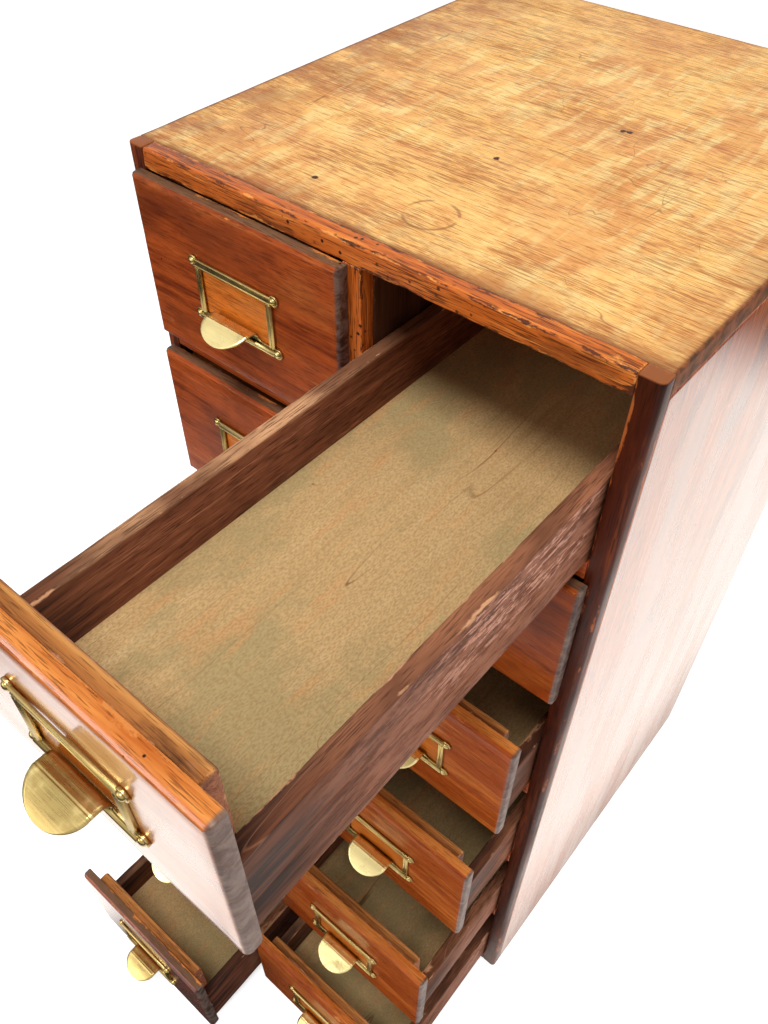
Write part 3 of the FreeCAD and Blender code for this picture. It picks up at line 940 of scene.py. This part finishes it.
def top_bar():
    """The flat top bar, with a fine raised line along each edge."""
    rim = SHEET + CROWN * 0.7
    flat = SHEET + CROWN * 0.4
    outline = [(0, LABEL_GAP), (0, SHEET), (0.3 * MM, rim), (0.8 * MM, rim), (1.1 * MM, flat),
               (TOP_BAR - 1.1 * MM, flat), (TOP_BAR - 0.8 * MM, rim), (TOP_BAR - 0.3 * MM, rim),
               (TOP_BAR, SHEET), (TOP_BAR, LABEL_GAP)]
    half = WINDOW_X + SIDE_BAR
    form = bar(outline, Vector((-half, 0, WINDOW_Z)), Vector((0, 0, 1)), Vector((2 * half, 0, 0)))
    return soften(form, 0.1 * MM)


def side_bar(side):
    """A side bar with two ridges, standing off the wood along the window to take a card."""
    outline = [(0, LABEL_GAP), (0, SHEET), (1.1 * MM, SHEET + CROWN), (2.2 * MM, SHEET + 0.3 * MM),
               (3.4 * MM, SHEET + CROWN), (SIDE_BAR, SHEET), (SIDE_BAR, 0), (LABEL_LAP, 0),
               (LABEL_LAP, LABEL_GAP)]
    form = bar(outline, Vector((side * WINDOW_X, 0, -WINDOW_Z)), Vector((side, 0, 0)),
               Vector((0, 0, 2 * WINDOW_Z)))
    return soften(form, 0.18 * MM)


def bottom_bar():
    """The half-round bottom bar, with the flat strip between it and the window."""
    half = WINDOW_X + SIDE_BAR
    low = Vector((-half, -SHEET - BOTTOM_BAR / 2, -WINDOW_Z - BOTTOM_STRIP - BOTTOM_BAR))
    rod = block(low, Vector((half, 0, low.z + BOTTOM_BAR)))
    round_off(rod, BOTTOM_BAR * 0.48, 6,
              lambda middle, direction: abs(direction.x) > 0.9 and abs(middle.y - low.y) < NEAR)
    strip = block(Vector((-half, -SHEET, low.z + BOTTOM_BAR)), Vector((half, 0, -WINDOW_Z)))
    return gather([rod, soften(strip, 0.15 * MM)])


def ear_and_pin(x, z):
    """A round lug with a domed pin through it."""
    form = bmesh.new()
    turn = Matrix.Rotation(math.radians(90), 4, "X")
    lug = Matrix.Translation((x, -SHEET / 2, z)) @ turn
    bmesh.ops.create_cone(form, cap_ends=True, segments=32, radius1=EAR_RADIUS, radius2=EAR_RADIUS,
                          depth=SHEET, matrix=lug)
    soften(form, 0.3 * MM, angle=0.8)
    dome = bmesh.new()
    squash = Matrix.Diagonal((PIN_RADIUS, PIN_RADIUS, PIN_HEIGHT, 1))
    bmesh.ops.create_uvsphere(dome, u_segments=28, v_segments=16, radius=1.0,
                              matrix=Matrix.Translation((x, -SHEET, z)) @ turn @ squash)
    return gather([form, dome])


def root_half(z):
    """Half the pull's width at a height: it flares out where it leaves the bottom strip."""
    reach = min(max(FLARE - WINDOW_Z - z, 0), FLARE)
    return PULL_HALF + FLARE - math.sqrt(FLARE ** 2 - reach ** 2)


def pull_path():
    """The pull's outer line from its foot to its tip, as (y, z, half width) rows."""
    rows = []
    hub_y = -LABEL_GAP - PULL_BEND
    hub_z = PULL_CREST - PULL_BEND
    for index in range(ROOT_STEPS + 1):
        z = PULL_FOOT + (hub_z - PULL_FOOT) * index / ROOT_STEPS
        rows.append((-LABEL_GAP, z, root_half(z)))
    for index in range(1, BEND_STEPS + 1):
        angle = math.radians(90 * index / BEND_STEPS)
        z = hub_z + PULL_BEND * math.sin(angle)
        rows.append((hub_y + PULL_BEND * math.cos(angle), z, root_half(z)))
    for kink in (CREASE_GAP - PULL_KINK, -PULL_KINK):
        for nearby, rise in ((CREASE_HALF, 0), (0, CREASE_RISE), (-CREASE_HALF, 0)):
            rows.append((kink + nearby, PULL_CREST + rise, PULL_HALF))
    for index in range(1, LIP_STEPS + 1):
        share = math.sin(math.radians(90 * index / LIP_STEPS))
        half = PULL_HALF * math.sqrt(max(1 - share ** 2, TIP_SHARE ** 2))
        height = PULL_CREST - LIP_DROP * share + LIP_CROWN * math.sin(math.pi * share)
        rows.append((-PULL_KINK - LIP_OUT * share, height, half))
    return rows


def finger_pull():
    """The hooded pull: one sheet bent up from the bottom bar, over the bend and down the lip."""
    rows = pull_path()
    form = bmesh.new()
    bmesh.ops.create_grid(form, x_segments=PULL_COLUMNS, y_segments=len(rows) - 1, size=1.0)
    for vert in form.verts:
        index = round((vert.co.y + 1) / 2 * (len(rows) - 1))
        y, z, half = rows[index]
        vert.co = Vector((vert.co.x * half, y, z))
    bmesh.ops.recalc_face_normals(form, faces=form.faces)
    bmesh.ops.solidify(form, geom=form.faces[:], thickness=PULL_SHEET)
    return form


def card_frame_form(drawer):
    """The whole brass frame, with its marks for tarnish and for the painted dark reflection on the low
    bars.
    """
    forms = [top_bar(), side_bar(-1), side_bar(1), bottom_bar(), finger_pull()]
    forms += [ear_and_pin(x, z) for x in (-PIN_X, PIN_X) for z in (-PIN_Z, PIN_Z)]
    form = gather(forms)
    chance = random.Random(drawer)
    offset = Vector((chance.uniform(-5, 5), chance.uniform(-5, 5), chance.uniform(-5, 5)))
    shine = TARNISHED_SHINE if drawer in TARNISHED else 1.0
    grain = form.verts.layers.float_vector.new("grain")
    edge = form.verts.layers.float.new("edge")
    for vert in form.verts:
        vert[grain] = vert.co + offset
        # proud: the low bars get olive, partly a painted dark reflection; the proud pull gets bright
        # brass
        proud = (-vert.co.y - SHEET) / (2 * CROWN)
        vert[edge] = min(max(proud, 0.0), 1.0) * shine
    return form


# ---------------------------------------------------------------- room

def seen_by(tree):
    """What looks: the camera, and gloss or clear glass."""
    path = tree.nodes.new("ShaderNodeLightPath")
    through = tree.nodes.new("ShaderNodeMath")
    through.operation = "MAXIMUM"
    tree.links.new(path.outputs["Is Glossy Ray"], through.inputs[0])
    tree.links.new(path.outputs["Is Transmission Ray"], through.inputs[1])
    return path.outputs["Is Camera Ray"], through.outputs[0]


def studio_white():
    """White to the camera all over; in gloss, a painted pool of light glows round the cabinet, a
    painted shadow lies under the open drawers, and the floor is dark elsewhere.
    """
    paper = Finish("studio_white")
    camera, gloss = seen_by(paper.tree)
    where = paper.tree.nodes.new("ShaderNodeTexCoord").outputs["Object"]
    # painted pool of light round the cabinet and painted shadow under the open drawers, both seen only
    # in gloss
    pool = paper.band(paper.distance(where, POOL_CENTRE), POOL_REACH, POOL_REACH + POOL_EDGE, 1.0, 0.0)
    under = paper.band(paper.distance(where, SHADE_CENTRE), SHADE_REACH, SHADE_REACH + SHADE_EDGE)
    lit = paper.times(gloss, paper.times(pool, under))
    dim = paper.math("SUBTRACT", gloss, lit)
    paper.put(paper.shader.inputs["Base Color"], paper.mix(dim, FLOOR_SHADE, DARK_GLOSS))
    paper.put(paper.shader.inputs["Emission Color"], paper.mix(lit, WHITE, PAINTED_POOL_TINT))
    glow = paper.plus(paper.times(camera, CAMERA_GLOW), paper.times(lit, PAINTED_POOL_GLOW))
    paper.put(paper.shader.inputs["Emission Strength"], glow)
    paper.shader.inputs["Roughness"].default_value = 0.9
    return paper.material


def build_floor():
    """A wide flat floor."""
    form = bmesh.new()
    bmesh.ops.create_grid(form, x_segments=4, y_segments=4, size=6.0)
    floor = shown("studio_floor", form, studio_white())


def build_world():
    """An even white room, seen as white by the camera and in gloss."""
    world = bpy.data.worlds.new("studio_room")
    bpy.context.scene.world = world
    world.use_nodes = True
    tree = world.node_tree
    background = tree.nodes["Background"]
    background.inputs["Color"].default_value = WHITE
    camera, gloss = seen_by(tree)
    seen = tree.nodes.new("ShaderNodeMath")
    seen.operation = "MAXIMUM"
    tree.links.new(camera, seen.inputs[0])
    tree.links.new(gloss, seen.inputs[1])
    level = tree.nodes.new("ShaderNodeMapRange")
    tree.links.new(seen.outputs[0], level.inputs["Value"])
    level.inputs["To Min"].default_value = ROOM_LIGHT
    level.inputs["To Max"].default_value = 1.0
    tree.links.new(level.outputs[0], background.inputs["Strength"])


def lamp(name, place, target, width, height, watts):
    """A soft box that faces its target."""
    light = bpy.data.lights.new(name, "AREA")
    light.shape = "RECTANGLE"
    light.size = width
    light.size_y = height
    light.energy = watts
    made = bpy.data.objects.new(name, light)
    made.location = place
    made.rotation_euler = (Vector(target) - Vector(place)).to_track_quat("-Z", "Y").to_euler()
    made.visible_camera = False
    bpy.context.collection.objects.link(made)


def build_camera():
    """A camera above the front, looking down into the open drawers."""
    lens = bpy.data.cameras.new("camera")
    lens.lens = LENS
    lens.sensor_width = SENSOR
    lens.clip_start = 0.01
    made = bpy.data.objects.new("camera", lens)
    made.location = CAMERA_PLACE
    made.rotation_euler = [math.radians(angle) for angle in CAMERA_TURN]
    bpy.context.collection.objects.link(made)
    bpy.context.scene.camera = made


def build_room():
    """The camera, the white room, its floor and the lamps."""
    build_camera()
    build_world()
    build_floor()
    for settings in LAMPS:
        lamp(*settings)
    bpy.context.scene.view_settings.view_transform = "Standard"


def main():
    """Makes the woods, each called as its slot is, then the cabinet and the room round it."""
    makers = (top_wood, side_wood, stile_wood, lipping_wood, rail_wood, inner_wood, back_wood,
              face_wood, box_wood, floor_wood)
    woods = {maker.__name__: maker() for maker in makers}
    metal = brass_metal()
    build_carcass(woods)
    for column in COLUMNS:
        for row in range(1, ROWS + 1):
            build_drawer(f"{column}_drawer_{row}", woods, metal)
    build_room()


main()
